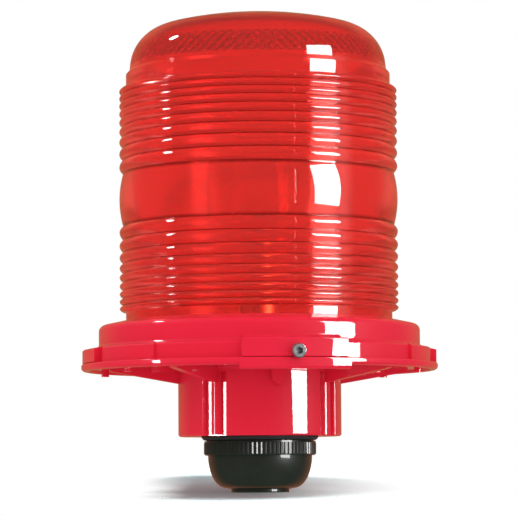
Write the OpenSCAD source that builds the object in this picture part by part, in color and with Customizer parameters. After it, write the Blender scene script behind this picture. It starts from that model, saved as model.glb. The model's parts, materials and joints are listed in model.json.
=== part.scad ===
// Warning beacon light: a ribbed red glass dome in a clamp ring, on a cast base
// with a hub, over a black cable gland. It stands on the gland with +Z up.
// The first lock screw faces -Y.

/* [Glass dome] */
// Radius over the glass rings
glass_r = 86.5; // [82:0.5:92]
// Thickness of the glass at its neck and crown
glass_wall = 4.2; // [3:0.1:5]
// Depth of the grooves between the rings
groove_d = 2.3; // [1.2:0.1:2.8]
// Rings above the bull's-eye, and as many below it
ring_count = 9; // [6:1:11]
// Half height of the bull's-eye, out to the crest of the first ring
bull_half = 20.2; // [17:0.2:24]
// Height of the last ring over the middle of the bull's-eye
ring_span = 67.7; // [62:0.5:69]
// How fast the rings close up towards the ends
ring_bias = 1.12; // [0.9:0.02:1.3]
// Share of a ring's pitch that its steep side takes
ring_rise = 0.44; // [0.3:0.02:0.6]
// Width of the blunt edge of a ring
ring_edge = 0.7; // [0.4:0.1:1]
// Step from the rings in to the glass neck
neck_step = 3.9; // [3.3:0.1:6]
// Plain neck of glass between the clamp ring and the first ring
neck_h = 5.05; // [4:0.05:8]
// Plain band of glass over the last ring
band_h = 10.6; // [8:0.2:14]
// Step from that band in to the dome
dome_step = 2.2; // [1:0.1:3]
// Height of that step
dome_step_h = 2.6; // [2:0.1:4]
// Height of the leaning wall under the shoulder
dome_wall_h = 4.4; // [3:0.2:8]
// Lean of that wall
dome_lean = 6.3; // [3:0.1:9]
// Radius of the shoulder
shoulder_r = 27; // [20:0.5:32]
// Radius of the shallow crown
crown_r = 242; // [200:1:320]

/* [Clamp ring] */
// How far the upright wall stands out of the glass rings
cover_out = 13; // [11.5:0.1:15]
// Height of the ring
cover_h = 26.8; // [26.2:0.1:30]
// Drop of the sloping top from the glass to its corner
top_drop = 2.8; // [2:0.1:3.4]
// Radius of the corner between top and wall
corner_r = 4; // [2.5:0.1:5]
// Height of the lower tier at the wall
tier_h = 10.3; // [9.6:0.1:11.4]
// Fall of the lower tier's top to its edge
tier_fall = 1.8; // [0.8:0.1:2.2]
// Fillet between the lower tier and the wall
tier_fillet = 2.2; // [1.2:0.1:3]
// How far the front and rear blocks rise over the lower tier
block_rise = 1.6; // [0.8:0.1:2.4]
// How far the lower tier stands out of the wall
tier_out = 4.7; // [3.6:0.1:5.4]
// How far the long bands stand out of the lower tier
band_out = 2.1; // [1:0.1:2.6]
// How far the lugs stand out of the tier
lug_out = 5.5; // [4:0.1:5.8]
// Half angle of the front and rear blocks
block_half = 17.2; // [14:0.2:22]
// Half angle of the side lugs
lug_half = 12.5; // [9:0.5:12.5]
// Angle from the block at which a long band starts
band_start = 48; // [44:0.5:52]
// Angle from the block at which a long band ends
band_end = 75.5; // [72:0.5:76]
// Rounding of the outer top edge of tier and blocks
edge_r = 1; // [0.8:0.1:1.6]
// Thickness of the shelf under the glass
shelf_t = 4; // [3:0.2:5]
// Thickness of the glass gasket
lens_gasket_t = 1.6; // [1:0.1:2.4]
// Width of the cement around the neck
cement_w = 2; // [1.2:0.1:3]

/* [Base] */
// How far the base rim stands out of the blocks
rim_out = 0.7; // [0.3:0.1:2]
// Height of the rim
rim_h = 4.4; // [4.2:0.1:6]
// Thickness of the rim's hanging lip
lip_t = 4.8; // [3.5:0.1:6]
// Thickness of the base plate
plate_t = 3.1; // [2.8:0.1:3.3]
// How far the front and rear pads hang below the rim
pad_drop = 2.6; // [1:0.1:3]
// How far the spigot is set in from the clamp ring's wall
spigot_in = 7; // [6.6:0.1:8]
// Wall of the spigot
spigot_t = 4; // [3:0.1:4.6]
// Height of the spigot over the rim
spigot_h = 9.3; // [8.4:0.1:10]
// Radius of the hub
hub_r = 50.5; // [49:0.5:54]
// Height of the hub below the base plate
hub_h = 41.7; // [38:0.1:48]
// Wall of the hub
hub_wall = 8.5; // [7:0.5:10]
// Thickness of the hub's floor
hub_floor = 14; // [13:0.5:18]
// Width of a flute in the hub
flute_w = 15; // [10:0.5:18]
// Depth of a flute
flute_d = 3.8; // [2:0.1:4.5]
// Radius of the round column in a flute
column_r = 4.2; // [3:0.1:5]
// Thickness of a rib
rib_t = 5; // [3:0.2:7]
// Distance from the end of a rib to the base rim
rib_in = 16.2; // [12:0.2:28]
// Drop of a rib where it meets the hub
rib_drop = 9.2; // [7:0.2:16]
// Width of the front and rear lugs on the hub
hub_lug_w = 7.8; // [5:0.2:10]
// Drop of those lugs under the plate
hub_lug_drop = 12; // [10:0.2:14]
// Distance of the bosses under the plate from the spigot
boss_in = 21.5; // [20:0.5:26]
// Radius of a boss
boss_r = 7; // [5:0.2:9]
// Height of a boss under the plate
boss_h = 3; // [2.6:0.1:6]
// Distance of the small nubs from the base rim
nub_in = 10.4; // [9.4:0.1:13]
// Radius of a small nub
nub_r = 2.4; // [1.6:0.1:3]
// Height of a small nub under the plate
nub_h = 3.4; // [2.6:0.1:4]

/* [Mounting] */
// Distance of the mounting bolts from the edge of the hub
bolt_in = 7.5; // [6.5:0.1:9]
// Tapping drill of a mounting bolt, across
bolt_drill = 6.8; // [5:0.1:8]
// Depth of a mounting hole
bolt_depth = 11; // [9:0.5:12]
// Thread of the gland in the hub floor, across
gland_thread = 47.8; // [40:0.1:50]
// Cable bore of the gland, across
cable_bore = 12; // [8:0.5:16]

/* [Gland] */
// Radius of the foot
foot_r = 18; // [16:0.5:22]
// Thickness of the foot
foot_t = 2.2; // [1.6:0.1:4]
// Radius of the domed entry at the nut
entry_r = 32.2; // [31.4:0.1:32.2]
// Height of the domed entry between the foot and the nut
entry_h = 20.7; // [19:0.1:26]
// How far the knurls of the nut stand out of the entry
nut_out = 2.5; // [2.4:0.1:5]
// Height of the nut
nut_h = 8.7; // [8.2:0.1:12]
// Depth of a knurl
knurl_d = 0.5; // [0.3:0.05:0.6]
// Knurls around the nut
knurl_count = 80; // [60:1:100]
// Gap between the nut and the washer
nut_gap = 0.6; // [0.4:0.1:1.2]
// Thickness of the sealing washer
washer_t = 2.3; // [1.6:0.1:4]
// How far the sealing washer stands out of the nut at the hub
washer_out = 1.6; // [0.6:0.1:3]

/* [Lock screws] */
// Thread of a lock screw, across
lock_d = 5; // [4:0.5:6]
// Head of a lock screw, across
lock_head_d = 8.5; // [7:0.1:10]
// Height of the head
lock_head_h = 5; // [3:0.1:6]
// Hexagon socket, across flats
lock_key = 4; // [3:0.5:5]
// Height of the screws over the underside of the clamp ring
lock_rise = 3.1; // [3:0.1:3.9]
// Length of the brass pad at the screw's tip
pad_l = 2.6; // [1.6:0.1:4]

/* [Lamp] */
// Radius of the bulb
bulb_r = 33; // [26:0.5:36]
// Thickness of the bulb's glass
bulb_wall = 0.9; // [0.6:0.1:1.4]
// Height of the bulb's middle over its filament
bulb_rise = 2; // [0:0.5:6]
// Radius of the bulb's neck
bulb_neck_r = 14; // [12:0.5:17]
// Radius of the lamp cap
cap_r = 11; // [10:0.1:11.4]
// Height of the lamp cap
cap_h = 25; // [22:0.5:30]
// Height of the lamp's contacts over the tray
contact_rise = 16; // [14:0.2:22]
// Radius of a bayonet pin
pin_r = 1; // [0.8:0.1:1.3]
// Height of the bayonet pins over the contacts
pin_rise = 8.5; // [8:0.1:9.5]
// Twist that frees the lamp
twist_angle = 18; // [12:1:24]
// Travel of the contact plungers
plunger_travel = 2; // [1:0.1:2.4]
// Radius of a plunger
plunger_r = 2.2; // [1.6:0.1:2.6]
// Distance of a plunger from the axis
plunger_x = 4; // [3.2:0.1:4.6]

/* [Holder and tray] */
// Gap between the tray and the spigot
tray_gap = 2.5; // [1:0.1:6]
// Thickness of the tray
tray_t = 2; // [1.5:0.1:2.4]
// Height of the standoffs
standoff_h = 6.7; // [5.7:0.1:7.1]
// Radius of the lamp holder
holder_r = 22; // [19:0.5:25]
// Distance of the holder screws from the lamp holder
holder_screw_out = 6; // [5:0.5:10]
// Length of the terminal block
block_l = 46; // [40:1:50]
// Width of the terminal block
block_w = 20; // [16:0.5:22]
// Height of the terminal block
block_h = 14; // [12:0.5:16]
// Distance of the terminal block from the axis
block_y = 54; // [50:0.5:56]
// Thickness of a lead over its cover
lead_d = 3; // [2:0.1:3.6]

/* [Hidden] */
$fn = 96;

eps = 0.01;
run_gap = 0.05;     // running clearance of threads and guides
free_gap = 0.3;     // clearance of pieces that only pass each other
gasket_proud = 0.2; // how far the base gasket holds the metal faces apart

// radii, from the glass out, and then those of the base, the tray and the gland
cover_r = glass_r + cover_out;
tier_r = cover_r + tier_out;
block_r = tier_r + lug_out;
long_band_r = tier_r + band_out;
rim_r = block_r + rim_out;
spigot_r = cover_r - spigot_in;
hood_r = spigot_r + 1.5;
boss_ring_r = spigot_r - boss_in;
nub_ring_r = rim_r - nub_in;
rib_reach = rim_r - rib_in;
tray_r = spigot_r - spigot_t - tray_gap;
nut_r = entry_r + nut_out;
washer_r = nut_r + washer_out;

// the foot of the glass in the clamp ring, down from its top
seat_depth = 9.8;
lip_depth = 3.4;
mouth_depth = 2.2;
ring_foot = 2; // what a ring's outer slope takes beyond its crest
ring_end = ring_span + ring_edge / 2 + ring_foot;

// heights, from the foot up
nut_z = foot_t + entry_h;
washer_z = nut_z + nut_h + nut_gap;
hub_z = washer_z + washer_t;
plate_z = hub_z + hub_h;
rim_z = plate_z + plate_t;
ring_z = rim_z + gasket_proud;
top_z = ring_z + cover_h;
bull_z = top_z + neck_h + ring_end;
lock_z = ring_z + lock_rise;

// the clamp ring
neck_r = glass_r - neck_step;
socket_r = neck_r + cement_w;
mouth_r = neck_r + free_gap;
bore_r = neck_r - glass_wall;
corner_z = top_z - top_drop;
lens_z = top_z - seat_depth;
shelf_z = lens_z - lens_gasket_t - shelf_t;
tier_z = ring_z + tier_h;
block_top = tier_z + block_rise;
draw_in = 0.3;   // angle that a block's raised top is drawn in at its ends
blocks = [0, 180];
lugs = [90, 270];

// crest and groove heights of the glass rings over the bull's-eye
function crest_h(i) = sqrt(pow(bull_half, 2)
    + (pow(ring_span, 2) - pow(bull_half, 2)) * pow(i / (ring_count - 1), ring_bias));
function ring_pitch(i) = i == 0 ? crest_h(1) - crest_h(0) : crest_h(i) - crest_h(i - 1);
function groove_h(i) = crest_h(i) - ring_rise * ring_pitch(i);
groove_r = glass_r - groove_d;

// the dome over the rings
band_r = neck_r - free_gap;
band_z = bull_z + ring_span + band_h;
dome_z = band_z + dome_step_h;
dome_r = band_r - dome_step;
wall_z = dome_z + dome_wall_h;
wall_r = dome_r - dome_wall_h * tan(dome_lean);
shoulder_x = wall_r - shoulder_r * cos(dome_lean);
shoulder_z = wall_z - shoulder_r * sin(dome_lean);
crown_z = shoulder_z - sqrt(pow(crown_r - shoulder_r, 2) - pow(shoulder_x, 2));
crown_angle = atan2(shoulder_z - crown_z, shoulder_x);

// the lamp, from its contacts up to the filament in the middle of the bull's-eye
contact_z = rim_z + standoff_h + tray_t + contact_rise;
pad_h = 0.6;
insulator_h = 2;
cap_z = contact_z + pad_h + insulator_h - 0.4;
cap_wall = 0.4;
pin_z = contact_z + pin_rise;
pin_tip_r = cap_r + 2.5;
bulb_z = bull_z + bulb_rise;

// the tray and holder
tray_z = rim_z + standoff_h;
tray_top = tray_z + tray_t;
screw_r = 2;
holder_screw_y = holder_r + holder_screw_out;
holder_lug_h = 6;
holder_lug_r = 6;
shell_rise = 11; // height of the brass sleeve over the well
boss_angles = [67.5, 112.5, 247.5, 292.5];
nub_angles = [64, 116, 244, 296];
shell_wall = 1.2;
shell_in_r = cap_r + 0.4;
shell_r = shell_in_r + shell_wall;
well_r = pin_tip_r + 0.7;
well_z = contact_z - 3;
well_top = pin_z + 0.6;
spring_z = tray_top + 2;
plunger_z = contact_z - 8;
wire_z = tray_top + 3.5;
wire_x = 9;
earth_x = block_l / 2 + 18;

// the gland
spigot_drill_r = gland_thread / 2;
skirt_r = entry_r + 1.2;
lip_t_nut = 1.2;
slip_t = 0.8;
flange_z = nut_z + lip_t_nut + slip_t;
flange_t = 2.1;
skirt_z = flange_z + flange_t;
seal_r = spigot_drill_r - 3.2;
collar_h = 6.8; // height of the bush's collar in the entry
seal_z = foot_t + collar_h;
cable_r = cable_bore / 2;

// points of an arc about [x, y]
function arc(x, y, r, from, to, n) =
    [for (i = [0 : n]) [x + r * cos(from + (to - from) * i / n), y + r * sin(from + (to - from) * i / n)]];

// turns a piece modelled along +X to an angle counted from -Y towards +X
module at_angle(a) {
    rotate(a - 90) children();
}

module tube(r_out, r_in, h) {
    difference() {
        cylinder(r = r_out, h = h);
        translate([0, 0, -1]) cylinder(r = r_in, h = h + 2);
    }
}

// a stretch of a turned shape between two angles
module turned(from, to) {
    rotate(from) rotate_extrude(angle = to - from, convexity = 4) children();
}

// repeats a stretch between two angles from the front block at both sides, front and rear
module quarters(from, to) {
    for (a = blocks) at_angle(a) {
        turned(from, to) children();
        turned(-to, -from) children();
    }
}

// height of the tier's sloping top at a radius
function tier_top(r) = tier_z - tier_fall * (r - cover_r) / (block_r - cover_r);

// the ring with the higher top of its front and rear blocks all the way round
module ring_section() {
    polygon(concat([[hood_r, ring_z], [block_r - 0.4, ring_z], [block_r, ring_z + 0.4]],
        arc(block_r - edge_r, block_top - edge_r - 0.5, edge_r, 0, 85, 4),
        arc(cover_r + tier_fillet, block_top + tier_fillet, tier_fillet, 270, 180, 6),
        arc(cover_r - corner_r, corner_z - corner_r, corner_r, 0, 77, 7),
        [[mouth_r, top_z], [mouth_r, top_z - mouth_depth], [socket_r, top_z - lip_depth],
         [socket_r, lens_z - lens_gasket_t], [bore_r - 1, lens_z - lens_gasket_t],
         [bore_r - 1, shelf_z], [hood_r - 2, shelf_z], [hood_r, shelf_z - 2]]));
}

// what comes off between the blocks, down to the sloping top of the tier
module top_cut() {
    polygon(concat([[block_r + 1, tier_top(block_r) - edge_r]],
        arc(block_r - edge_r, tier_top(block_r) - edge_r, edge_r, 0, 80, 4),
        arc(cover_r + tier_fillet, tier_top(cover_r + tier_fillet) + tier_fillet, tier_fillet, 265, 180, 6),
        [[cover_r, block_top + tier_fillet], [cover_r + 0.1, block_top + tier_fillet + 1],
         [block_r + 1, block_top + tier_fillet + 1]]));
}

// what comes off the tier outside a radius
module tier_cut(r) {
    edge = 0.8;
    polygon([[r, ring_z - 1], [r, tier_top(r) - edge], [r - edge - 1, tier_top(r) + 1],
        [block_r + 2, tier_z + 2], [block_r + 2, ring_z - 1]]);
}

module clamp_ring() {
    color("crimson") difference() {
        rotate_extrude(convexity = 6) ring_section();
        for (a = lugs) at_angle(a) turned(block_half - 90 - draw_in, 90 + draw_in - block_half) top_cut();
        quarters(block_half, band_start) tier_cut(tier_r);
        quarters(band_start - 1, band_end + 1) tier_cut(long_band_r);
        quarters(band_end, 90 - lug_half) tier_cut(tier_r);
        for (a = blocks) at_angle(a)
            translate([hood_r - 3, 0, lock_z]) rotate([0, 90, 0])
                cylinder(r = lock_d / 2 + run_gap, h = block_r - hood_r + 6);
    }
}

// outer half of the glass section, from the foot up to the crown
function ring_points(side) = [for (k = [0 : ring_count - 1])
    let (i = side > 0 ? k : ring_count - 1 - k)
    each (side > 0
        ? [[groove_r, groove_h(i)], [glass_r, crest_h(i) - ring_edge / 2], [glass_r, crest_h(i) + ring_edge / 2]]
        : [[glass_r, -crest_h(i) - ring_edge / 2], [glass_r, -crest_h(i) + ring_edge / 2], [groove_r, -groove_h(i)]])];
function bull_points(n) = [for (i = [1 : n - 1])
    let (t = 2 * i / n - 1) [glass_r - groove_d * t * t, t * groove_h(0)]];
function lift(points, z) = [for (p = points) [p[0], p[1] + z]];

module lens_glass() {
    inner = shoulder_r - glass_wall;
    color("red") rotate_extrude(convexity = 8) polygon(concat(
        [[bore_r, lens_z], [neck_r - 0.6, lens_z], [neck_r, lens_z + 0.6], [neck_r, bull_z - ring_end]],
        lift(ring_points(-1), bull_z),
        lift(bull_points(12), bull_z),
        lift(ring_points(1), bull_z),
        [[band_r, bull_z + ring_end], [band_r, band_z], [dome_r, dome_z]],
        arc(shoulder_x, shoulder_z, shoulder_r, dome_lean, crown_angle, 14),
        arc(0, crown_z, crown_r, crown_angle, 90, 10),
        arc(0, crown_z, crown_r - glass_wall, 90, crown_angle, 10),
        arc(shoulder_x, shoulder_z, inner, crown_angle, dome_lean, 14),
        [[dome_r - glass_wall, dome_z], [bore_r, bull_z + ring_end]]));
}

module lens_gasket() {
    color("dimgray") translate([0, 0, lens_z - lens_gasket_t])
        tube(neck_r, bore_r, lens_gasket_t);
}

module lens_cement() {
    color("gainsboro") translate([0, 0, lens_z])
        tube(socket_r - 2 * run_gap, neck_r, seat_depth - lip_depth);
}

// a ring with its inner and outer radius that the lip, pads and gasket share
gasket_in_r = hood_r + 2.6;
gasket_w = 3.4;
gasket_t = 2;

module base_casting() {
    color("crimson") difference() {
        union() {
            difference() {
                rotate_extrude(convexity = 6) base_section();
                for (a = lugs) at_angle(a) turned(block_half + 0.6 - 90, 89.4 - block_half) lip_cut();
                for (a = [45 : 90 : 315]) at_angle(a) flute();
            }
            for (a = [45 : 90 : 315]) at_angle(a) {
                rib();
                column();
            }
            for (a = lugs) at_angle(a) rib();
            for (a = blocks) at_angle(a) hub_lug();
            for (a = boss_angles) at_angle(a)
                translate([boss_ring_r, 0, plate_z - boss_h]) cylinder(r = boss_r, h = boss_h + 1);
            for (a = nub_angles) at_angle(a)
                translate([nub_ring_r, 0, plate_z - nub_h]) cylinder(r = nub_r, h = nub_h + 1);
        }
        for (a = boss_angles) at_angle(a)
            translate([boss_ring_r, 0, plate_z - boss_h + 1.4]) cylinder(r = screw_r + run_gap, h = boss_h + plate_t);
        for (a = [0 : 90 : 270]) at_angle(a)
            translate([hub_r - bolt_in, 0, hub_z - 1]) cylinder(d = bolt_drill, h = bolt_depth + 1);
    }
}

pad_z = rim_z - rim_h - pad_drop;
pad_in_r = rim_r - 3 * lip_t;

// the base with its deep pad all the way round
module base_section() {
    round = 2;
    hub_in = hub_r - hub_wall;
    polygon(concat([[spigot_drill_r, hub_z], [hub_r - 1, hub_z], [hub_r, hub_z + 1], [hub_r, plate_z - 2]],
        arc(hub_r + 2, plate_z - 2, 2, 180, 90, 3),
        [[pad_in_r, plate_z], [pad_in_r, pad_z]],
        arc(rim_r - round, pad_z + round, round, -90, 0, 5),
        arc(rim_r - 1, rim_z - 1, 1, 0, 90, 3),
        [[gasket_in_r + gasket_w, rim_z], [gasket_in_r + gasket_w, rim_z - gasket_t + gasket_proud],
         [gasket_in_r, rim_z - gasket_t + gasket_proud], [gasket_in_r, rim_z], [spigot_r, rim_z]],
        [[spigot_r, rim_z + spigot_h - 1], [spigot_r - 1, rim_z + spigot_h]],
        [[spigot_r - spigot_t, rim_z + spigot_h], [spigot_r - spigot_t, rim_z], [hub_in, rim_z]],
        [[hub_in, hub_z + hub_floor], [spigot_drill_r, hub_z + hub_floor]]));
}

// what comes off the deep pad between the blocks, down to the lip
module lip_cut() {
    round = 2.6;
    past = 0.12;  // the rounding runs out of the rim's face at an angle
    lip_z = rim_z - rim_h;
    polygon(concat([[pad_in_r - 1, pad_z - 1], [pad_in_r - 1, plate_z], [rim_r - lip_t, plate_z]],
        arc(rim_r - lip_t + 1, lip_z + 1, 1, 180, 270, 3),
        arc(rim_r - round + past, lip_z + round, round, -90, 0, 6),
        [[rim_r + 1, lip_z + round], [rim_r + 1, pad_z - 1]]));
}

// an upright flute in the hub, between two mounting holes
module flute() {
    flare = 1.5;
    half = flute_w / 2;
    mouth = sqrt(pow(hub_r, 2) - pow(half + flare, 2)) + 0.1;
    floor_x = hub_r - flute_d;
    translate([0, 0, hub_z - 1]) linear_extrude(hub_h - 2)
        polygon(concat([[hub_r + 2, -half - flare]],
            arc(mouth - flare, -half - flare, flare, 0, 90, 4),
            arc(floor_x + 1, 1 - half, 1, 270, 180, 3),
            arc(floor_x + 1, half - 1, 1, 180, 90, 3),
            arc(mouth - flare, half + flare, flare, 270, 360, 4),
            [[hub_r + 2, half + flare]]));
}

// a round column that stands in a flute, set in a little from the hub's face
module column() {
    set_in = 0.4;
    side = column_r + 1;
    translate([0, 0, hub_z + 0.6]) intersection() {
        translate([hub_r - column_r - set_in, 0, 0]) cylinder(r = column_r, h = hub_h);
        translate([hub_r - flute_d - 1.5, -side, -1]) cube([2 * side, 2 * side, hub_h + 2]);
    }
}

// a short lug with a slanted end, between the hub and the plate
module hub_lug() {
    half = hub_lug_w / 2;
    low = plate_z - hub_lug_drop;
    translate([hub_r - 1.5, 0, 0]) rotate([90, 0, 90]) linear_extrude(8)
        polygon([[-half, plate_z + 1], [-half, low + 4], [half - 3.4, low + 0.5], [half - 1, low], [half, low + 1],
            [half, plate_z + 1]]);
}

module rib() {
    translate([0, rib_t / 2, 0]) rotate([90, 0, 0]) linear_extrude(rib_t)
        polygon([[hub_r - flute_d - 1, plate_z + 1], [rib_reach, plate_z + 1], [rib_reach, plate_z - 1.2],
            [rib_reach - 2, plate_z - 2], [hub_r + 0.5, plate_z - rib_drop],
            [hub_r - flute_d - 1, plate_z - rib_drop - 0.6]]);
}

module base_gasket() {
    color("dimgray") translate([0, 0, rim_z - gasket_t + gasket_proud])
        tube(gasket_in_r + gasket_w - 0.1, gasket_in_r + 0.1, gasket_t);
}

// a socket-head screw along +X, its tip on the brass pad
head_gap = 0.9;
module lock_screw() {
    tip = spigot_r + free_gap + pad_l;
    head_x = block_r + head_gap;
    translate([0, 0, lock_z]) rotate([0, 90, 0]) difference() {
        union() {
            translate([0, 0, tip]) cylinder(d = lock_d, h = head_x - tip + 1);
            translate([0, 0, head_x]) cylinder(d = lock_head_d, h = lock_head_h - 0.4);
            translate([0, 0, head_x + lock_head_h - 0.4 - eps])
                cylinder(d1 = lock_head_d, d2 = lock_head_d - 0.8, h = 0.4);
        }
        translate([0, 0, head_x + lock_head_h / 2 + 0.2])
            cylinder(d = lock_key / cos(30), h = lock_head_h, $fn = 6);
    }
}

module lock_pad() {
    translate([spigot_r + free_gap, 0, lock_z]) rotate([0, 90, 0])
        cylinder(d = lock_d - 0.2, h = pad_l);
}

module lock_screw_front() {
    color("silver") at_angle(blocks[0]) lock_screw();
}

module lock_screw_rear() {
    color("silver") at_angle(blocks[1]) lock_screw();
}

module lock_pad_front() {
    color("goldenrod") at_angle(blocks[0]) lock_pad();
}

module lock_pad_rear() {
    color("goldenrod") at_angle(blocks[1]) lock_pad();
}

module gland_washer() {
    color("#1d201e") rotate_extrude() polygon([[spigot_drill_r + 0.2, washer_z], [nut_r, washer_z],
        [washer_r - 0.2, hub_z - 0.8], [washer_r, hub_z], [spigot_drill_r + 0.2, hub_z]]);
}

module gland_body() {
    bore = seal_r - 4;
    color("#1d201e") rotate_extrude() polygon([[bore, skirt_z], [skirt_r, skirt_z], [skirt_r, washer_z - 0.4],
        [skirt_r - 0.4, washer_z], [spigot_drill_r - run_gap, washer_z],
        [spigot_drill_r - run_gap, hub_z + hub_floor - 2], [spigot_drill_r - 1, hub_z + hub_floor - 1],
        [bore, hub_z + hub_floor - 1]]);
}

module gland_nut() {
    tip = nut_r;
    root = nut_r - knurl_d;
    pitch = 360 / knurl_count;
    rim = 0.9;
    color("#1d201e") difference() {
        union() {
            translate([0, 0, nut_z]) cylinder(r1 = root - 0.3, r2 = root, h = 0.6);
            translate([0, 0, nut_z + 0.6]) cylinder(r = root, h = nut_h - 0.6);
            translate([0, 0, nut_z + nut_h - rim]) cylinder(r = root + knurl_d * 0.6, h = rim);
            translate([0, 0, nut_z + 0.7]) linear_extrude(nut_h - rim - 0.9)
                polygon([for (i = [0 : knurl_count - 1], s = [[0, root], [0.3, tip], [0.6, tip], [0.9, root]])
                    [s[1] * cos((i + s[0]) * pitch), s[1] * sin((i + s[0]) * pitch)]]);
        }
        translate([0, 0, nut_z - 1]) cylinder(r = entry_r + free_gap, h = nut_h + 2);
        translate([0, 0, nut_z + lip_t_nut]) cylinder(r = skirt_r + run_gap, h = nut_h);
    }
}

module slip_ring() {
    color("goldenrod") translate([0, 0, nut_z + lip_t_nut])
        tube(skirt_r, entry_r + free_gap + run_gap, slip_t);
}

module gland_dome() {
    // the bowl: an upright shoulder, then a rounded belly in to the foot
    belly = foot_r + 2;
    color("#2a2e2a") difference() {
        rotate_extrude() polygon(concat([[0, foot_t], [belly - 0.6, foot_t], [belly, foot_t + 0.4]],
            [for (i = [1 : 9]) let (t = 90 * i / 9)
                [belly + (entry_r - belly) * pow(sin(t), 0.9), foot_t + 0.4 + (entry_h - 0.7) * (1 - cos(t))]],
            [[entry_r, flange_z], [skirt_r - 0.1, flange_z], [skirt_r - 0.1, skirt_z], [0, skirt_z]]));
        translate([0, 0, seal_z]) cylinder(r = seal_r + 0.1, h = skirt_z);
        translate([0, 0, -1]) cylinder(r = cable_r + 2.1, h = seal_z + 2);
    }
}

module gland_seal() {
    color("dimgray") translate([0, 0, seal_z + free_gap])
        tube(seal_r - 0.2, cable_r, skirt_z - seal_z - free_gap);
}

module entry_bush() {
    color("#1d201e") difference() {
        union() {
            cylinder(r1 = foot_r - 0.4, r2 = foot_r, h = 0.4);
            translate([0, 0, 0.4]) cylinder(r = foot_r, h = foot_t - 0.4);
            cylinder(r = cable_r + 2, h = seal_z);
        }
        translate([0, 0, -1]) cylinder(r = cable_r, h = seal_z + 2);
    }
}

module mounting_tray() {
    color("lightgray") translate([0, 0, tray_z]) difference() {
        cylinder(r = tray_r, h = tray_t);
        for (a = boss_angles) at_angle(a)
            translate([boss_ring_r, 0, -1]) cylinder(r = screw_r + 0.2, h = tray_t + 2);
        for (y = [-holder_screw_y, holder_screw_y])
            translate([0, y, -1]) cylinder(r = screw_r + run_gap, h = tray_t + 2);
        translate([0, -block_y, -1]) cylinder(r = grommet_r, h = tray_t + 2);
        translate([earth_x, block_y - 8, -1]) cylinder(r = screw_r + run_gap, h = tray_t + 2);
        for (x = [-block_l / 2 + 4, block_l / 2 - 4])
            translate([x, block_y, -1]) cylinder(r = 1.5, h = tray_t + 2);
    }
}

grommet_r = 10;
module tray_grommet() {
    color("dimgray") translate([0, -block_y, tray_z]) {
        translate([0, 0, -1.4]) tube(grommet_r + 2.4, grommet_r - 3, 1.4);
        tube(grommet_r, grommet_r - 3, tray_t);
        translate([0, 0, tray_t]) tube(grommet_r + 2.4, grommet_r - 3, 1.4);
    }
}

module tray_standoffs() {
    color("silver") for (a = boss_angles) at_angle(a)
        translate([boss_ring_r, 0, rim_z]) difference() {
            cylinder(r = 5, h = standoff_h, $fn = 6);
            translate([0, 0, -1]) cylinder(r = screw_r + 0.2, h = standoff_h + 2);
        }
}

module tray_screws() {
    tip = plate_z - boss_h + 2;
    color("silver") for (a = boss_angles) at_angle(a) translate([boss_ring_r, 0, 0]) {
        translate([0, 0, tip]) cylinder(r = screw_r, h = tray_top - tip + eps);
        slotted_head(tray_top, screw_r + 1.8, 2.2);
    }
}

module slotted_head(z, r, h) {
    translate([0, 0, z]) difference() {
        cylinder(r = r, h = h);
        translate([-r - 1, -0.5, h - 1]) cube([2 * r + 2, 1, 2]);
    }
}

module holder_body() {
    color("whitesmoke") difference() {
        union() {
            translate([0, 0, tray_top]) cylinder(r = holder_r, h = well_top - tray_top - 1);
            translate([0, 0, well_top - 1 - eps]) cylinder(r1 = holder_r, r2 = holder_r - 1, h = 1 + eps);
            for (side = [-1, 1]) {
                translate([-holder_lug_r, side > 0 ? 0 : -holder_screw_y, tray_top])
                    cube([2 * holder_lug_r, holder_screw_y, holder_lug_h]);
                translate([0, side * holder_screw_y, tray_top]) cylinder(r = holder_lug_r, h = holder_lug_h);
            }
        }
        translate([0, 0, well_z]) cylinder(r = well_r, h = 40);
        for (x = [-plunger_x, plunger_x])
            translate([x, 0, spring_z]) cylinder(r = plunger_r + run_gap, h = 40);
        for (y = [-holder_screw_y, holder_screw_y])
            translate([0, y, tray_top - 1]) cylinder(r = screw_r + 0.2, h = holder_lug_h + 2);
        for (x = [-wire_x, wire_x])
            translate([x, holder_r - 6, wire_z]) rotate([-90, 0, 0]) cylinder(r = lead_d / 2 + 0.1, h = 10);
    }
}

// the brass sleeve with its two entry slots, along +X and -X at rest
module holder_shell() {
    top = well_top + shell_rise;
    slot_r = pin_r + free_gap;
    half = asin((slot_r + 0.4) / shell_in_r);
    low = pin_z - plunger_travel - slot_r;
    color("goldenrod") difference() {
        union() {
            translate([0, 0, well_z]) tube(shell_r, shell_in_r, top - well_z);
            translate([0, 0, well_z]) tube(well_r - 0.1, shell_in_r, 1.2);
        }
        for (a = [0, 180]) rotate(a) {
            turned(-half, twist_angle + half)
                translate([0, low]) square([shell_r + 1, pin_z + slot_r - low]);
            rotate(twist_angle) translate([0, -slot_r, low + 1]) cube([shell_r + 2, 2 * slot_r, top]);
        }
    }
}

module holder_screws() {
    color("silver") for (y = [-holder_screw_y, holder_screw_y]) translate([0, y, 0]) {
        translate([0, 0, tray_z - tray_t]) cylinder(r = screw_r, h = 2 * tray_t + holder_lug_h + eps);
        slotted_head(tray_top + holder_lug_h, screw_r + 1.8, 2.2);
    }
}

module contact_plungers() {
    color("goldenrod") for (x = [-plunger_x, plunger_x])
        translate([x, 0, plunger_z]) {
            cylinder(r = plunger_r, h = contact_z - plunger_z - 0.4);
            translate([0, 0, contact_z - plunger_z - 0.4 - eps])
                cylinder(r1 = plunger_r, r2 = plunger_r - 0.4, h = 0.4 + eps);
        }
}

module plunger_springs() {
    color("silver") for (x = [-plunger_x, plunger_x])
        translate([x, 0, spring_z]) tube(plunger_r - 0.2, plunger_r - 0.8, plunger_z - spring_z);
}

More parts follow.
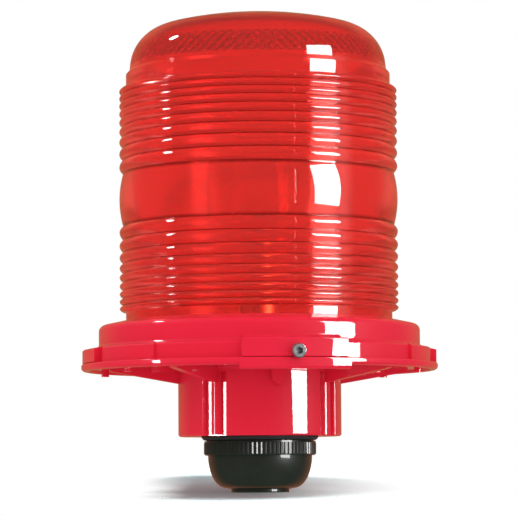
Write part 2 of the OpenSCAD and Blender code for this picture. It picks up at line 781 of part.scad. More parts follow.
terminal_x = [-14, 0, 14];
module terminal_block() {
    color("whitesmoke") translate([0, block_y, tray_top]) difference() {
        translate([-block_l / 2, -block_w / 2, 0]) cube([block_l, block_w, block_h]);
        for (x = terminal_x) translate([x, 0, block_h - 7]) cylinder(r = 3, h = 10);
        for (x = [-wire_x, wire_x])
            translate([x, -block_w / 2 - 1, wire_z - tray_top]) rotate([-90, 0, 0])
                cylinder(r = lead_d / 2 + 0.1, h = 6);
        translate([block_l / 2 - 5, -8, wire_z - tray_top]) rotate([0, 90, 0])
            cylinder(r = lead_d / 2 + 0.1, h = 8);
    }
}

module terminal_screws() {
    color("goldenrod") for (x = terminal_x) translate([x, block_y, 0])
        slotted_head(tray_top + block_h - 7, 2.8, 4);
}

module lead(x) {
    from = holder_r - 5.7;
    translate([x, from, wire_z]) rotate([-90, 0, 0])
        cylinder(r = lead_d / 2, h = block_y - block_w / 2 + 4.7 - from);
}

module live_lead() {
    color("saddlebrown") lead(wire_x);
}

module neutral_lead() {
    color("royalblue") lead(-wire_x);
}

module earth_lead() {
    // a short straight lead that ends in a ring tag
    tag_z = wire_z - 0.8;
    color("yellowgreen") translate([0, block_y - 8, 0]) {
        translate([block_l / 2 - 4.7, 0, wire_z]) rotate([0, 90, 0]) cylinder(r = lead_d / 2, h = 12);
        translate([block_l / 2 + 7, -2.2, tag_z]) cube([earth_x - 3 - block_l / 2 - 7, 4.4, 1.6]);
        translate([earth_x, 0, tag_z]) tube(4.5, screw_r + 0.1, 1.6);
    }
}

module earth_screw() {
    color("goldenrod") translate([earth_x, block_y - 8, 0]) {
        translate([0, 0, tray_top]) tube(4, screw_r - eps, wire_z - 0.8 - tray_top);
        translate([0, 0, tray_z - 3]) cylinder(r = screw_r, h = wire_z + 0.8 - tray_z + 3 + eps);
        slotted_head(wire_z + 0.8, screw_r + 1.8, 2.4);
    }
}

// the bulb's outline, grown by g, from the neck up to the tip
function bulb_points(g) =
    let (r = bulb_r + g, n = bulb_neck_r - 1 + g, sweep = 56, start = asin((bulb_neck_r + 4) / bulb_r) - 90)
    concat([[cap_r - 1.2 + g, cap_z + cap_h - 4], [cap_r - 1.2 + g, cap_z + cap_h + 0.4],
            [n, cap_z + cap_h + 6], [bulb_neck_r + g, cap_z + cap_h + 10]],
        arc(0, bulb_z, r, start, 90, 22));

module lamp_bulb() {
    outer = bulb_points(0);
    inner = bulb_points(-bulb_wall);
    color("lightcyan") rotate_extrude() polygon(concat(outer,
        [for (i = [len(inner) - 1 : -1 : 0]) inner[i]]));
}

module lamp_stem() {
    foot = cap_z + cap_h - 4;
    flare = 12;
    top = bull_z - 16;
    color("lightcyan") rotate_extrude() polygon([[0, foot], [cap_r - 2.4, foot], [cap_r - 2.4, foot + 1.2], [6, foot + 1.2],
        [1.6, foot + flare], [1.6, top - 2], [2.6, top], [1.6, top + 2], [0, top + 2]]);
}

module lamp_filament() {
    // a wire bent into a half ring, held at both ends by lead-in wires
    span = 11;
    foot_x = 2.2;
    low = cap_z + cap_h + 9;
    rise = bull_z - low;
    color("gray") {
        translate([0, 0, bull_z]) rotate_extrude(angle = 180) translate([span, 0]) circle(0.8, $fn = 24);
        for (side = [-1, 1])
            translate([side * foot_x, 0, low]) rotate([0, side * atan((span - foot_x) / rise), 0])
                cylinder(r = 0.4, h = norm([span - foot_x, rise]), $fn = 24);
    }
}

module lamp_cap() {
    color("goldenrod") translate([0, 0, cap_z]) {
        difference() {
            union() {
                cylinder(r = cap_r, h = cap_h);
                translate([-pin_tip_r, 0, pin_z - cap_z]) rotate([0, 90, 0]) cylinder(r = pin_r, h = 2 * pin_tip_r);
            }
            translate([0, 0, -1]) cylinder(r = cap_r - cap_wall, h = cap_h + 2);
        }
    }
}

module lamp_insulator() {
    color("black") translate([0, 0, contact_z + pad_h]) {
        cylinder(r1 = cap_r - 1.6, r2 = cap_r - cap_wall, h = insulator_h);
        translate([0, 0, insulator_h - eps]) cylinder(r = cap_r - cap_wall, h = 2);
    }
}

module lamp_contacts() {
    color("silver") for (x = [-plunger_x, plunger_x])
        translate([x, 0, contact_z]) cylinder(r = plunger_r + 0.3, h = pad_h);
}

base_casting();
base_gasket();
clamp_ring();
lens_glass();
lens_gasket();
lens_cement();
lock_screw_front();
lock_screw_rear();
lock_pad_front();
lock_pad_rear();
gland_body();
gland_washer();
gland_nut();
slip_ring();
gland_dome();
gland_seal();
entry_bush();
mounting_tray();
tray_standoffs();
tray_screws();
tray_grommet();
holder_body();
holder_shell();
holder_screws();
contact_plungers();
plunger_springs();
terminal_block();
terminal_screws();
live_lead();
neutral_lead();
earth_lead();
earth_screw();
lamp_bulb();
lamp_stem();
lamp_filament();
lamp_cap();
lamp_insulator();
lamp_contacts();
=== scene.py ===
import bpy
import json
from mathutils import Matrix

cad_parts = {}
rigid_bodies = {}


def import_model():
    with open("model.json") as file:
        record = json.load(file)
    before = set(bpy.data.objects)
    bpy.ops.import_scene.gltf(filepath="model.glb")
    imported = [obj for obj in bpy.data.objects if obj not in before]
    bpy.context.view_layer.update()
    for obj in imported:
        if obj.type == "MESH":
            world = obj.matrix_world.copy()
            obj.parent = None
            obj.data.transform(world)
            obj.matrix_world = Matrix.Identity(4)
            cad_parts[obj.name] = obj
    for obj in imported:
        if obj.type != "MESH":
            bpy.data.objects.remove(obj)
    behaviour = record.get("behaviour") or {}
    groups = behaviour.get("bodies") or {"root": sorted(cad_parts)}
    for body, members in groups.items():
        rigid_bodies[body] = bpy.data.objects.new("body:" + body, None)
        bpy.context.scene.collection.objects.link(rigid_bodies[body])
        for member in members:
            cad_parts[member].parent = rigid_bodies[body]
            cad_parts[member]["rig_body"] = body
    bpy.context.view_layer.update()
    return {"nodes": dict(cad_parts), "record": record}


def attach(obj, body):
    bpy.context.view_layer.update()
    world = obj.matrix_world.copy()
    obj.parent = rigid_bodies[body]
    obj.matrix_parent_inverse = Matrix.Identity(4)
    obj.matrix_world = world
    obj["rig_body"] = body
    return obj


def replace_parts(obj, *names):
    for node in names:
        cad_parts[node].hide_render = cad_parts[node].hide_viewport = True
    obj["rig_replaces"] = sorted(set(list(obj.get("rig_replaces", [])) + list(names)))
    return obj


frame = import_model()

import bpy
import json
from math import atan2, cos, degrees, hypot, pi, radians, sin, sqrt, tan
from mathutils import Matrix, Vector

scene = bpy.context.scene
mm = 0.001  # all sizes below are in millimetres


# camera
cameraSet = {
    "azimuth": -11.7,   # the lock screw shows a little right of the middle
    "distance": 1860,
    "height": 4,
    "tilt": 4.345,
    "aside": 0.017,     # puts the axis a pixel right of the middle
    "roll": -0.35,
    "lens": 209.3,
    "sensor": 36,
    "clip": (100, 50000),
}
front = radians(cameraSet["azimuth"])
toRight, toBack = (cos(front), sin(front), 0), (-sin(front), cos(front), 0)


def placeCamera(c):
    data = bpy.data.cameras.new("camera")
    data.lens, data.sensor_width = c["lens"], c["sensor"]
    data.clip_start, data.clip_end = [end * mm for end in c["clip"]]
    camera = bpy.data.objects.new("camera", data)
    scene.collection.objects.link(camera)
    place = Vector((sin(front), -cos(front), 0)) * c["distance"] * mm
    place.z = c["height"] * mm
    turn = (Matrix.Rotation(front + radians(c["aside"]), 4, "Z")
            @ Matrix.Rotation(radians(90 + c["tilt"]), 4, "X")
            @ Matrix.Rotation(radians(c["roll"]), 4, "Z"))
    camera.matrix_world = Matrix.Translation(place) @ turn
    scene.camera = camera


placeCamera(cameraSet)
scene.view_settings.view_transform = "Standard"
scene.view_settings.look = "None"
print("camera placed")


# shader helper
class Wire:  # a socket that can be added to, taken from and multiplied
    def __init__(self, tree, socket):
        self.tree, self.socket = tree, socket

    def __add__(self, other): return self.tree.calc("ADD", self, other)
    def __sub__(self, other): return self.tree.calc("SUBTRACT", self, other)
    def __mul__(self, other): return self.tree.calc("MULTIPLY", self, other)


class NodeTree:  # the nodes of a material or of the world
    def __init__(self, tree):
        self.nodes, self.links = tree.nodes, tree.links

    def put(self, socket, value):
        if isinstance(value, Wire):
            self.links.new(value.socket, socket)
        elif socket.type == "RGBA":
            socket.default_value = (*value, 1)
        else:
            socket.default_value = value

    def add(self, kind, settings=None, values=(), out=0):
        node = self.nodes.new("ShaderNode" + kind)
        for key, value in (settings or {}).items():
            setattr(node, key, value)
        pairs = values.items() if isinstance(values, dict) else enumerate(values)
        for key, value in pairs:
            self.put(node.inputs[key], value)
        return Wire(self, node.outputs[out])

    def calc(self, kind, *values):
        return self.add("Math", {"operation": kind}, values)

    def place(self):
        return self.add("TexCoord", out="Object")

    def parts(self, vector):
        node = self.nodes.new("ShaderNodeSeparateXYZ")
        self.put(node.inputs[0], vector)
        return [Wire(self, out) for out in node.outputs]

    def length(self, a, b):
        return self.calc("SQRT", a * a + b * b)

    def dot(self, vector, way):
        return self.add("VectorMath", {"operation": "DOT_PRODUCT"}, [vector, way], "Value")

    def noise(self, size, detail=2.0):
        return self.add("TexNoise", {}, {"Vector": self.place(), "Scale": 1 / (size * mm), "Detail": detail})

    def blend(self, share, a, b):
        node = self.nodes.new("ShaderNodeMix")
        node.data_type = "RGBA"
        for socket, value in zip((node.inputs[0], node.inputs[6], node.inputs[7]), (share, a, b)):
            self.put(socket, value)
        return Wire(self, node.outputs[2])

    # turns a value between two ends into one between low and high
    def spread(self, source, low, high, ends=(0.0, 1.0), kind="LINEAR"):
        return self.add("MapRange", {"interpolation_type": kind}, {
            "Value": source, "From Min": ends[0], "From Max": ends[1], "To Min": low, "To Max": high})

    # the same with its ends in millimetres
    def reach(self, source, low, high, ends, kind="LINEAR"):
        return self.spread(source, low, high, [end * mm for end in ends], kind)


class Finish(NodeTree):  # a material with its shader
    def __init__(self, name, **constants):
        self.material = bpy.data.materials.new(name)
        self.material.use_nodes = True
        super().__init__(self.material.node_tree)
        self.shader = self.nodes["Principled BSDF"]
        self.feed(**constants)

    def feed(self, **values):
        for socket, value in values.items():
            self.put(self.shader.inputs[socket.replace("_", " ")], value)
        return self.material

    def relief(self, height, depth, strength=1.0):
        values = {"Height": height, "Distance": depth * mm, "Strength": strength}
        self.feed(Normal=self.add("Bump", {}, values, "Normal"))


# red paint of the castings
paintSet = {
    "light": (0.83, 0.018, 0.047), "dark": (0.77, 0.013, 0.042), "rough": (0.4, 0.55),
    "cloud": 60, "cloudDetail": 3,
    "grain": 1.2, "grainShare": 0.12, "lumps": 11, "lumpShare": 0.88, "depth": 0.14, "strength": 0.5,
}


def makePaint(s):
    paint = Finish("red_paint", Coat_Weight=1.0, Coat_Roughness=0.02, Coat_IOR=1.5, Specular_IOR_Level=0.05)
    cloud = paint.noise(s["cloud"], s["cloudDetail"])
    bumps = paint.noise(s["grain"]) * s["grainShare"] + paint.noise(s["lumps"]) * s["lumpShare"]
    paint.relief(bumps, s["depth"], s["strength"])
    return paint.feed(Base_Color=paint.blend(cloud, s["light"], s["dark"]),
                      Roughness=paint.spread(cloud, *s["rough"]))


# the dome glass: its shape, which its finish follows
glass = {
    "crest": 86.5, "depth": 2.3,             # radius over the crests, depth of the grooves
    "middle": 181.4, "bullHalf": 20.2, "bullSteps": 12,
    "rings": 9, "span": 67.7, "bias": 1.12,  # over and under the bull's-eye, wider further out
    "rise": 0.44,                            # height of a crest over its groove, in pitches
    "crestSteps": (-0.9, -0.75, -0.55, -0.35, -0.15, 0, 0.15, 0.35, 0.55, 0.75, 0.9), "crestPower": 2.0,
    "margin": 2.35, "foot": 96.5, "bore": 78.4, "neck": 82.6, "band": 82.3, "bandTop": 259.7,
    "dome": 80.1, "domeFoot": 262.3, "wall": 4.2,
    "shoulder": (52.8, 263.7, 27.0), "lean": 6.3, "shoulderSteps": 14,  # centre and radius, first angle
    "crownRadius": 242.0, "crownSteps": 10,
    "grooveRound": 0.25, "neckRound": 0.5, "footRound": 0.8, "bandRound": 0.9, "innerRound": 0.8,
    "turns": 288, "smooth": 50, "axis": 0.001,  # a corner as near as this is on the axis
    # studs inside the shoulder, in waves round the axis and round the shoulder
    "studs": 84, "studRows": 24, "studSteps": 40,
    "studArc": (0.12, 0.5), "studOver": 0.3, "studNear": 0.1, "studHigh": 0.5,
}
rubySet = {
    "light": (0.79, 0.096, 0.076), "dark": (0.75, 0.081, 0.069), "rough": (0.0, 0.02), "cloud": 70,
    # the painted shade line in the grooves, by its distance from the axis
    "paintedShade": (0.09, 0.012, 0.006), "paintedShadeShare": 0.8, "grooveIn": (84.1, 84.19), "grooveOut": (84.34, 84.8),
    # the hairline mould seam
    "seamAt": radians(3), "seamWide": (0, 0.7), "seamFrom": (85.5, 86.1), "seamHigh": 0.15,
    # where the studs begin and end
    "inner": (24, 25), "studFrom": (0.05, 0.12), "studTo": (0.5, 0.62),
    # the relief that holds both, on a slow swell
    "swellSize": 16, "swell": 0.02, "depth": 3.0,
    # the roughness of the bore, and where it ends
    "haze": 0.1, "boreOut": (79.2, 79.8), "boreTop": (262, 266),
}


# red glass with painted shade along its grooves, and with a mould seam, studs and a hazy bore
def makeRuby(r, g):
    ruby = Finish("red_glass", Transmission_Weight=0.8, IOR=1.5)
    cloud = ruby.noise(r["cloud"])
    x, y, z = ruby.parts(ruby.place())
    wide = ruby.length(x, y)
    groove = ruby.reach(wide, 0, 1, r["grooveIn"]) * ruby.reach(wide, 1, 0, r["grooveOut"])
    colour = ruby.blend(cloud, r["light"], r["dark"])
    # painted shade: the colour in each groove is darkened towards a near-black red
    colour = ruby.blend(groove * r["paintedShadeShare"], colour, r["paintedShade"])
    seam = ruby.calc("ABSOLUTE", x * cos(r["seamAt"]) + y * sin(r["seamAt"]))
    seam = ruby.reach(seam, 1, 0, r["seamWide"], "SMOOTHSTEP") * ruby.reach(wide, 0, 1, r["seamFrom"])
    ring, height = g["shoulder"][:2]
    out, up = wide - ring * mm, z - height * mm
    around, turn = ruby.calc("ARCTAN2", y, x), ruby.calc("ARCTAN2", up, out)
    studs = ruby.calc("SINE", around * g["studs"]) * ruby.calc("SINE", turn * g["studRows"])
    inside = ruby.reach(ruby.length(out, up), 1, 0, r["inner"])
    inside = inside * ruby.spread(turn, 0, 1, r["studFrom"]) * ruby.spread(turn, 1, 0, r["studTo"])
    ruby.relief(ruby.noise(r["swellSize"]) * r["swell"] + studs * inside + seam * r["seamHigh"], r["depth"])
    bore = ruby.reach(wide, r["haze"], 0, r["boreOut"]) * ruby.reach(z, 1, 0, r["boreTop"])
    return ruby.feed(Base_Color=colour, Roughness=ruby.spread(cloud, *r["rough"]) + bore)


# the other finishes
plainSet = {
    "coatRough": 0.06, "shine": 0.5, "coatedShine": 0.15,
    "cloudDetail": 4, "grain": 1.0, "grainDetail": 3, "strength": 0.5,
}
plainFinishes = {
    "clear_glass": {"light": (0.98, 0.98, 0.98), "dark": (0.95, 0.97, 0.97), "rough": (0.01, 0.05),
                    "depth": 0.004, "Transmission_Weight": 1.0, "IOR": 1.3},
    "black_gloss": {"light": (0.016, 0.022, 0.015), "dark": (0.024, 0.031, 0.022), "rough": (0.3, 0.42),
                    "coat": 0.45},
    "black_rubber": {"light": (0.02, 0.02, 0.02), "dark": (0.035, 0.034, 0.033), "rough": (0.55, 0.75)},
    "cement": {"light": (0.62, 0.58, 0.5), "dark": (0.72, 0.68, 0.6), "rough": (0.8, 0.95), "depth": 0.15},
    "stainless": {"light": (0.7, 0.7, 0.71), "dark": (0.6, 0.6, 0.61), "rough": (0.2, 0.32),
                  "metal": 1.0, "size": 3},
    "zinc_steel": {"light": (0.66, 0.66, 0.64), "dark": (0.56, 0.57, 0.56), "rough": (0.3, 0.5),
                   "metal": 1.0, "size": 12},
    "brass": {"light": (0.80, 0.58, 0.26), "dark": (0.66, 0.46, 0.2), "rough": (0.2, 0.38),
              "metal": 1.0, "size": 5},
    "porcelain": {"light": (0.86, 0.84, 0.79), "dark": (0.8, 0.78, 0.72), "rough": (0.2, 0.3),
                  "coat": 0.8, "size": 30},
    "brown_cover": {"light": (0.2, 0.09, 0.04), "dark": (0.25, 0.12, 0.06), "rough": (0.4, 0.5)},
    "blue_cover": {"light": (0.05, 0.12, 0.42), "dark": (0.07, 0.15, 0.5), "rough": (0.4, 0.5)},
    "green_cover": {"light": (0.36, 0.5, 0.06), "dark": (0.42, 0.56, 0.1), "rough": (0.4, 0.5)},
    "tungsten": {"light": (0.3, 0.3, 0.31), "dark": (0.22, 0.22, 0.23), "rough": (0.35, 0.5),
                 "metal": 1.0, "size": 1},
}


def makePlain(name, light, dark, rough, metal=0.0, coat=0.0, size=8, depth=0.03, **more):
    s = plainSet
    plain = Finish(name, Metallic=metal, Coat_Weight=coat, Coat_Roughness=s["coatRough"],
                   Specular_IOR_Level=s["coatedShine"] if coat else s["shine"], **more)
    cloud = plain.noise(size, s["cloudDetail"])
    plain.relief(plain.noise(s["grain"], s["grainDetail"]), depth, s["strength"])
    return plain.feed(Base_Color=plain.blend(cloud, light, dark), Roughness=plain.spread(cloud, *rough))


finishes = {"red_paint": makePaint(paintSet), "red_glass": makeRuby(rubySet, glass)}
finishes.update({name: makePlain(name, **row) for name, row in plainFinishes.items()})
print("finishes made")


# modelling helpers
modelSet = {
    "merge": 0.002,                          # distance under which points are one
    "flat": 0.2, "sharp": 28, "smooth": 32,  # angles
    "roundMost": 0.45,                       # share of a side that a rounded corner may take
}


def clearSelection():
    if bpy.context.object and bpy.context.object.mode != "OBJECT":
        bpy.ops.object.mode_set(mode="OBJECT")
    bpy.ops.object.select_all(action="DESELECT")


def take(piece):
    clearSelection()
    piece.select_set(True)
    bpy.context.view_layer.objects.active = piece


def dress(piece, body, slot, *nodes):
    piece.data.materials.clear()
    piece.data.materials.append(finishes[slot])
    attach(piece, body)
    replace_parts(piece, *nodes)


# a merged copy of a node with its sharp edges rounded
def roundedCopy(node, slot, edge, steps=2):
    source = frame["nodes"][node]
    piece = bpy.data.objects.new(node + "_made", source.data.copy())
    scene.collection.objects.link(piece)
    take(piece)
    bpy.ops.object.mode_set(mode="EDIT")
    bpy.ops.mesh.select_mode(type="EDGE")
    bpy.ops.mesh.select_all(action="SELECT")
    bpy.ops.mesh.remove_doubles(threshold=modelSet["merge"] * mm)
    bpy.ops.mesh.dissolve_limited(angle_limit=radians(modelSet["flat"]))
    bpy.ops.mesh.select_all(action="DESELECT")
    bpy.ops.mesh.edges_select_sharp(sharpness=radians(modelSet["sharp"]))
    bpy.ops.mesh.bevel(offset=edge * mm, segments=steps, profile=0.5, clamp_overlap=True)
    bpy.ops.object.mode_set(mode="OBJECT")
    bpy.ops.object.shade_smooth_by_angle(angle=radians(modelSet["smooth"]))
    bpy.ops.object.modifier_add(type="WEIGHTED_NORMAL")
    piece.modifiers[-1].keep_sharp = True
    bpy.ops.object.modifier_apply(modifier=piece.modifiers[-1].name)
    dress(piece, source["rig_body"], slot, node)
    return piece


# a line drawn by extruding one point from corner to corner; it is left selected for the next step
def drawLine(name, corners):
    clearSelection()
    bpy.ops.mesh.primitive_plane_add(size=mm, location=[part * mm for part in corners[0]])
    piece = bpy.context.object
    piece.name = name
    bpy.ops.object.transform_apply(location=True, rotation=True, scale=True)
    bpy.ops.object.mode_set(mode="EDIT")
    bpy.ops.mesh.select_mode(type="VERT")
    bpy.ops.mesh.select_all(action="SELECT")
    bpy.ops.mesh.merge(type="CENTER")
    for start, end in zip(corners, corners[1:]):
        step = [(b - a) * mm for a, b in zip(start, end)]
        bpy.ops.mesh.extrude_vertices_move(TRANSFORM_OT_translate={"value": step})
    bpy.ops.mesh.select_all(action="SELECT")
    return piece


def turnLine(steps):
    bpy.ops.mesh.spin(steps=steps, angle=2 * pi, center=(0, 0, 0), axis=(0, 0, 1))
    bpy.ops.mesh.select_all(action="SELECT")
    bpy.ops.mesh.remove_doubles(threshold=modelSet["merge"] * mm)
    bpy.ops.mesh.normals_make_consistent(inside=False)
    bpy.ops.object.mode_set(mode="OBJECT")


# rounds the corners of a closed line; each corner is (x, y) or (x, y, radius)
def rounded(corners, steps=4):
    line, most = [], modelSet["roundMost"]
    for i, corner in enumerate(corners):
        here = Vector(corner[:2])
        if len(corner) < 3:
            line.append(tuple(here))
            continue
        before, after = Vector(corners[i - 1][:2]), Vector(corners[(i + 1) % len(corners)][:2])
        toBefore, toAfter = before - here, after - here
        half = toBefore.angle(toAfter) / 2
        cut = min(corner[2] / tan(half), most * toBefore.length, most * toAfter.length)
        start, end = here + toBefore.normalized() * cut, here + toAfter.normalized() * cut
        for k in range(steps + 1):
            t = k / steps
            line.append(tuple(start * (1 - t) ** 2 + here * 2 * t * (1 - t) + end * t ** 2))
    return line


def arc(x, z, radius, start, end, steps):
    angles = [radians(start + (end - start) * k / steps) for k in range(steps + 1)]
    return [(x + radius * cos(a), z + radius * sin(a)) for a in angles]


# half of the glass's outline, from the foot over the outside to the pole and back inside
def glassProfile(g):
    near, far = g["bullHalf"] ** 2, g["span"] ** 2
    crest = [sqrt(near + (far - near) * (i / (g["rings"] - 1)) ** g["bias"]) for i in range(g["rings"])]
    pitch = [crest[1] - crest[0]] + [b - a for a, b in zip(crest, crest[1:])]
    groove = [c - g["rise"] * p for c, p in zip(crest, pitch)]
    groove.append(crest[-1] + g["rise"] * pitch[-1])
    middle, out, end = g["middle"], g["crest"], g["span"] + g["margin"]
    ring = []  # rounded crests with narrow grooves between them
    for low, top, high in zip(groove, crest, groove[1:]):
        ring.append((out - g["depth"], low, g["grooveRound"]))
        for t in g["crestSteps"]:
            away = (high if t > 0 else 2 * top - low) - top
            ring.append((out - g["depth"] * abs(t) ** g["crestPower"], top + away * t))
    corners = [(g["bore"], g["foot"], g["neckRound"]), (g["neck"], g["foot"], g["footRound"]),
               (g["neck"], middle - end, g["neckRound"])]
    corners += [(x, middle - z, *rest) for x, z, *rest in reversed(ring)]
    bull = [k / g["bullSteps"] for k in range(1 - g["bullSteps"], g["bullSteps"])]
    corners += [(out - g["depth"] * t * t, middle + t * groove[0]) for t in bull]
    corners += [(x, middle + z, *rest) for x, z, *rest in ring]
    corners += [(g["band"], middle + end, g["neckRound"]), (g["band"], g["bandTop"], g["bandRound"]),
                (g["dome"], g["domeFoot"], g["bandRound"])]
    sx, sz, sr = g["shoulder"]
    crown, lean, wall = g["crownRadius"], g["lean"], g["wall"]
    centre = sz - sqrt((crown - sr) ** 2 - sx ** 2)
    joint = degrees(atan2(sz - centre, sx))
    corners += arc(sx, sz, sr, lean, joint, g["shoulderSteps"])
    corners += arc(0, centre, crown, joint, 90, g["crownSteps"])[1:]
    corners += arc(0, centre, crown - wall, 90, joint, g["crownSteps"])
    corners += arc(sx, sz, sr - wall, joint, lean, g["studSteps"])[1:]
    corners += [(g["dome"] - wall, g["domeFoot"], g["innerRound"]),
                (g["bore"], middle + end, g["innerRound"])]
    return rounded(corners)


# small studs all round the inside of the shoulder
def raiseStuds(piece, g):
    sx, sz, sr = g["shoulder"]
    first, last = g["studArc"]
    bpy.ops.object.mode_set(mode="EDIT")
    bpy.ops.mesh.select_all(action="DESELECT")
    bpy.ops.object.mode_set(mode="OBJECT")
    for vertex in piece.data.vertices:
        x, y, z = vertex.co / mm
        out, up = hypot(x, y) - sx, z - sz
        turn = atan2(up, out)
        inside = abs(hypot(out, up) - sr + g["wall"]) < g["studNear"] and first < turn < last
        vertex.select = inside and sin(atan2(y, x) * g["studs"]) * sin(turn * g["studRows"]) > g["studOver"]
    bpy.ops.object.mode_set(mode="EDIT")
    bpy.ops.transform.shrink_fatten(value=g["studHigh"] * mm)
    bpy.ops.object.mode_set(mode="OBJECT")


def makeGlass(g):
    line = [(x, 0, z) for x, z in glassProfile(g)]
    outerPole, innerPole = [i for i, corner in enumerate(line) if corner[0] < g["axis"]]
    piece = drawLine("dome_glass", line[innerPole:] + line[:outerPole + 1])
    turnLine(g["turns"])
    bpy.ops.object.shade_smooth_by_angle(angle=radians(g["smooth"]))
    raiseStuds(piece, g)
    dress(piece, "dome", "red_glass", "lens_glass")
    piece.visible_shadow = False


makeGlass(glass)
print("glass made")

# cast pieces and fittings, with the radius of their edges
castings = {"base_casting": 0.9, "clamp_ring": 0.9}
cast = {node: roundedCopy(node, "red_paint", edge, 3) for node, edge in castings.items()}
fittings = {
    "gland_dome": ("black_gloss", 0.4), "gland_nut": ("black_gloss", 0.12),
    "gland_washer": ("black_rubber", 0.4), "entry_bush": ("black_gloss", 0.25),
    "lock_screw_front": ("stainless", 0.25), "lock_screw_rear": ("stainless", 0.25),
}
for node, (slot, edge) in fittings.items():
    roundedCopy(node, slot, edge)
print("castings and fittings made")

# the rest keeps its solid, with its own finish
made = {node for piece in bpy.data.objects for node in piece.get("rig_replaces", [])}
slots = {row["node"]: row["material_slot"] for row in frame["record"]["subparts"]}
for node, solid in frame["nodes"].items():
    if node not in made:
        solid.data.materials.clear()
        solid.data.materials.append(finishes[slots[node]])
print("solids dressed")


# stage and light
stageSet = {
    "flat": 19, "slope": 5.0, "reach": 300, "far": 1600, "near": 900, "wide": 5000,
    "bend": 6, "longBend": 120, "bendSteps": 8, "drop": 30, "gap": 0.02,
    "light": (0.31, 0.39, 0.395), "dark": (0.33, 0.41, 0.415), "cloud": 300, "glow": 0.02,
    "left": (-76, -42), "right": (-10, 98), "deep": (150, 280),  # where the part of it that shows fades out
    "wobbleSize": 45, "wobble": 20,                              # and how far that edge wanders
}


# level under the foot, with a slight slope before and behind it that shows the soft shadow
def makeFloor(s):
    fall = tan(radians(s["slope"]))
    top, low = (s["reach"] - s["flat"]) * fall, (s["flat"] - s["near"]) * fall
    line = rounded([(-s["near"], low), (-s["flat"], 0, s["bend"]), (s["flat"], 0, s["bend"]),
                    (s["reach"], top, s["longBend"]), (s["far"], top - s["drop"])], s["bendSteps"])
    floor = drawLine("floor", [(-s["wide"] / 2, y, z - s["gap"]) for y, z in line])
    bpy.ops.mesh.extrude_region_move(TRANSFORM_OT_translate={"value": (s["wide"] * mm, 0, 0)})
    bpy.ops.mesh.select_all(action="SELECT")
    bpy.ops.mesh.normals_make_consistent(inside=False)
    bpy.ops.object.mode_set(mode="OBJECT")
    floor.rotation_euler.z = front
    bpy.ops.object.transform_apply(location=True, rotation=True, scale=True)
    bpy.ops.object.shade_smooth()
    paper = Finish("paper", Roughness=0.9, Specular_IOR_Level=0.0,
                   Emission_Color=(1, 1, 1), Emission_Strength=s["glow"])
    across, along = paper.dot(paper.place(), toRight), paper.dot(paper.place(), toBack)
    across = across + (paper.noise(s["wobbleSize"]) - 0.5) * (s["wobble"] * mm)
    left = paper.reach(across, 0, 1, s["left"], "SMOOTHSTEP")
    right = paper.reach(across, 1, 0, s["right"], "SMOOTHSTEP")
    deep = paper.reach(paper.calc("ABSOLUTE", along), 1, 0, s["deep"])
    paper.feed(Base_Color=paper.blend(paper.noise(s["cloud"]), s["light"], s["dark"]),
               Alpha=left * right * deep)
    floor.data.materials.append(paper.material)
    floor.visible_glossy = floor.visible_transmission = floor.visible_diffuse = False
    return floor


floor = makeFloor(stageSet)
lampDistance, lampAim = 1200, (0, 0, 180)
lamps = {
    "floor_lamp": {"azimuth": 25, "elevation": 62, "size": (500, 500), "power": 90,
                   "aim": (0, 0, 0), "only": floor, "matt": True},
    "softbox": {"azimuth": 57, "elevation": 8.5, "size": (500, 860), "power": 38},
    "strip": {"azimuth": -66, "elevation": -3, "size": (110, 500), "power": 7,
              "aim": (0, 0, 60), "only": cast["base_casting"]},
    "window": {"azimuth": -99, "elevation": 43, "size": (90, 120), "power": 5},
}


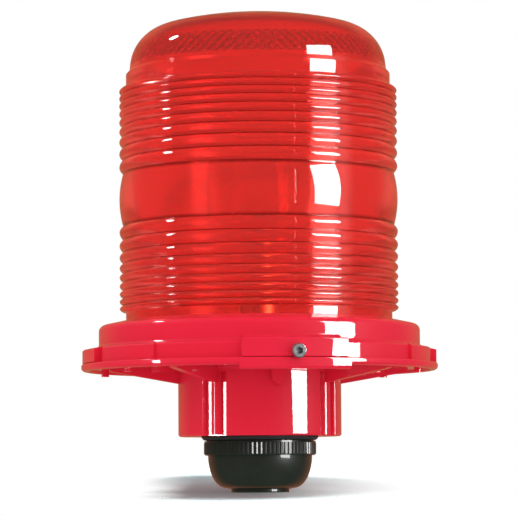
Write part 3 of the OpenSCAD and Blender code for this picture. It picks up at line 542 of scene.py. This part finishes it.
# a lamp that only makes a highlight unless it is matt, on everything or on one thing only
def addLamp(name, azimuth, elevation, size, power, aim=lampAim, only=None, matt=False):
    data = bpy.data.lights.new(name, "AREA")
    data.shape, data.size, data.size_y = "RECTANGLE", size[0] * mm, size[1] * mm
    data.energy = power
    lamp = bpy.data.objects.new(name, data)
    scene.collection.objects.link(lamp)
    a, e = front + radians(azimuth), radians(elevation)
    away = Vector((sin(a) * cos(e), -cos(a) * cos(e), sin(e)))
    lamp.location = Vector(aim) * mm + away * lampDistance * mm
    lamp.rotation_euler = away.to_track_quat("Z", "Y").to_euler()
    lamp.visible_diffuse = matt
    if only:
        lit = bpy.data.collections.new(name + "_only")
        lit.objects.link(only)
        lamp.light_linking.receiver_collection = lit


for name, lamp in lamps.items():
    addLamp(name, **lamp)


skySet = {
    "backdrop": (1, 1, 1),
    "above": (1.25, 1.25, 1.25),    # what matt surfaces get from over the horizon
    "below": (0.93, 0.93, 0.93),    # and from under it
    "horizon": (-0.25, 0.25),       # sines of the heights between which they meet
    "front": (0.05, 0.05, 0.05),    # what gloss mirrors in front
    "behind": (0.45, 0.18, 0.09),   # and behind, where edges catch it
    "wide": (0.35, 0.8),            # cosines between which the back begins
    "level": (1.0, 1.0, 1.0),       # what shows through glass
    "overhead": (0.1, 0.08, 0.08),  # and through it from above or below
    "high": (0.3, 0.6),             # sines of the heights between which it dims
    "room": (0.06, 0.03, 0.03),     # what glass bends into view from in front
    "sides": (-0.3, 0.2),           # cosines between which the front ends
}


def makeSky(s):
    world = bpy.data.worlds.new("studio")
    scene.world = world
    world.use_nodes = True
    sky = NodeTree(world.node_tree)
    away = sky.add("TexCoord", out="Generated")
    back = sky.dot(away, toBack)
    height = sky.add("SeparateXYZ", {}, [away], "Z")
    steep = sky.calc("ABSOLUTE", height)
    matt = sky.blend(sky.spread(height, 0, 1, s["horizon"], "SMOOTHSTEP"), s["below"], s["above"])
    gloss = sky.blend(sky.spread(back, 0, 1, s["wide"], "SMOOTHSTEP"), s["front"], s["behind"])
    through = sky.blend(sky.spread(steep, 0, 1, s["high"], "SMOOTHSTEP"), s["level"], s["overhead"])
    through = sky.blend(sky.spread(back, 0, 1, s["sides"], "SMOOTHSTEP"), s["room"], through)
    light = sky.blend(sky.add("LightPath", out="Is Glossy Ray"), matt, gloss)
    light = sky.blend(sky.add("LightPath", out="Is Transmission Ray"), light, through)
    light = sky.blend(sky.add("LightPath", out="Is Camera Ray"), light, s["backdrop"])
    sky.put(sky.nodes["Background"].inputs["Color"], light)


makeSky(skySet)
print("stage lit")
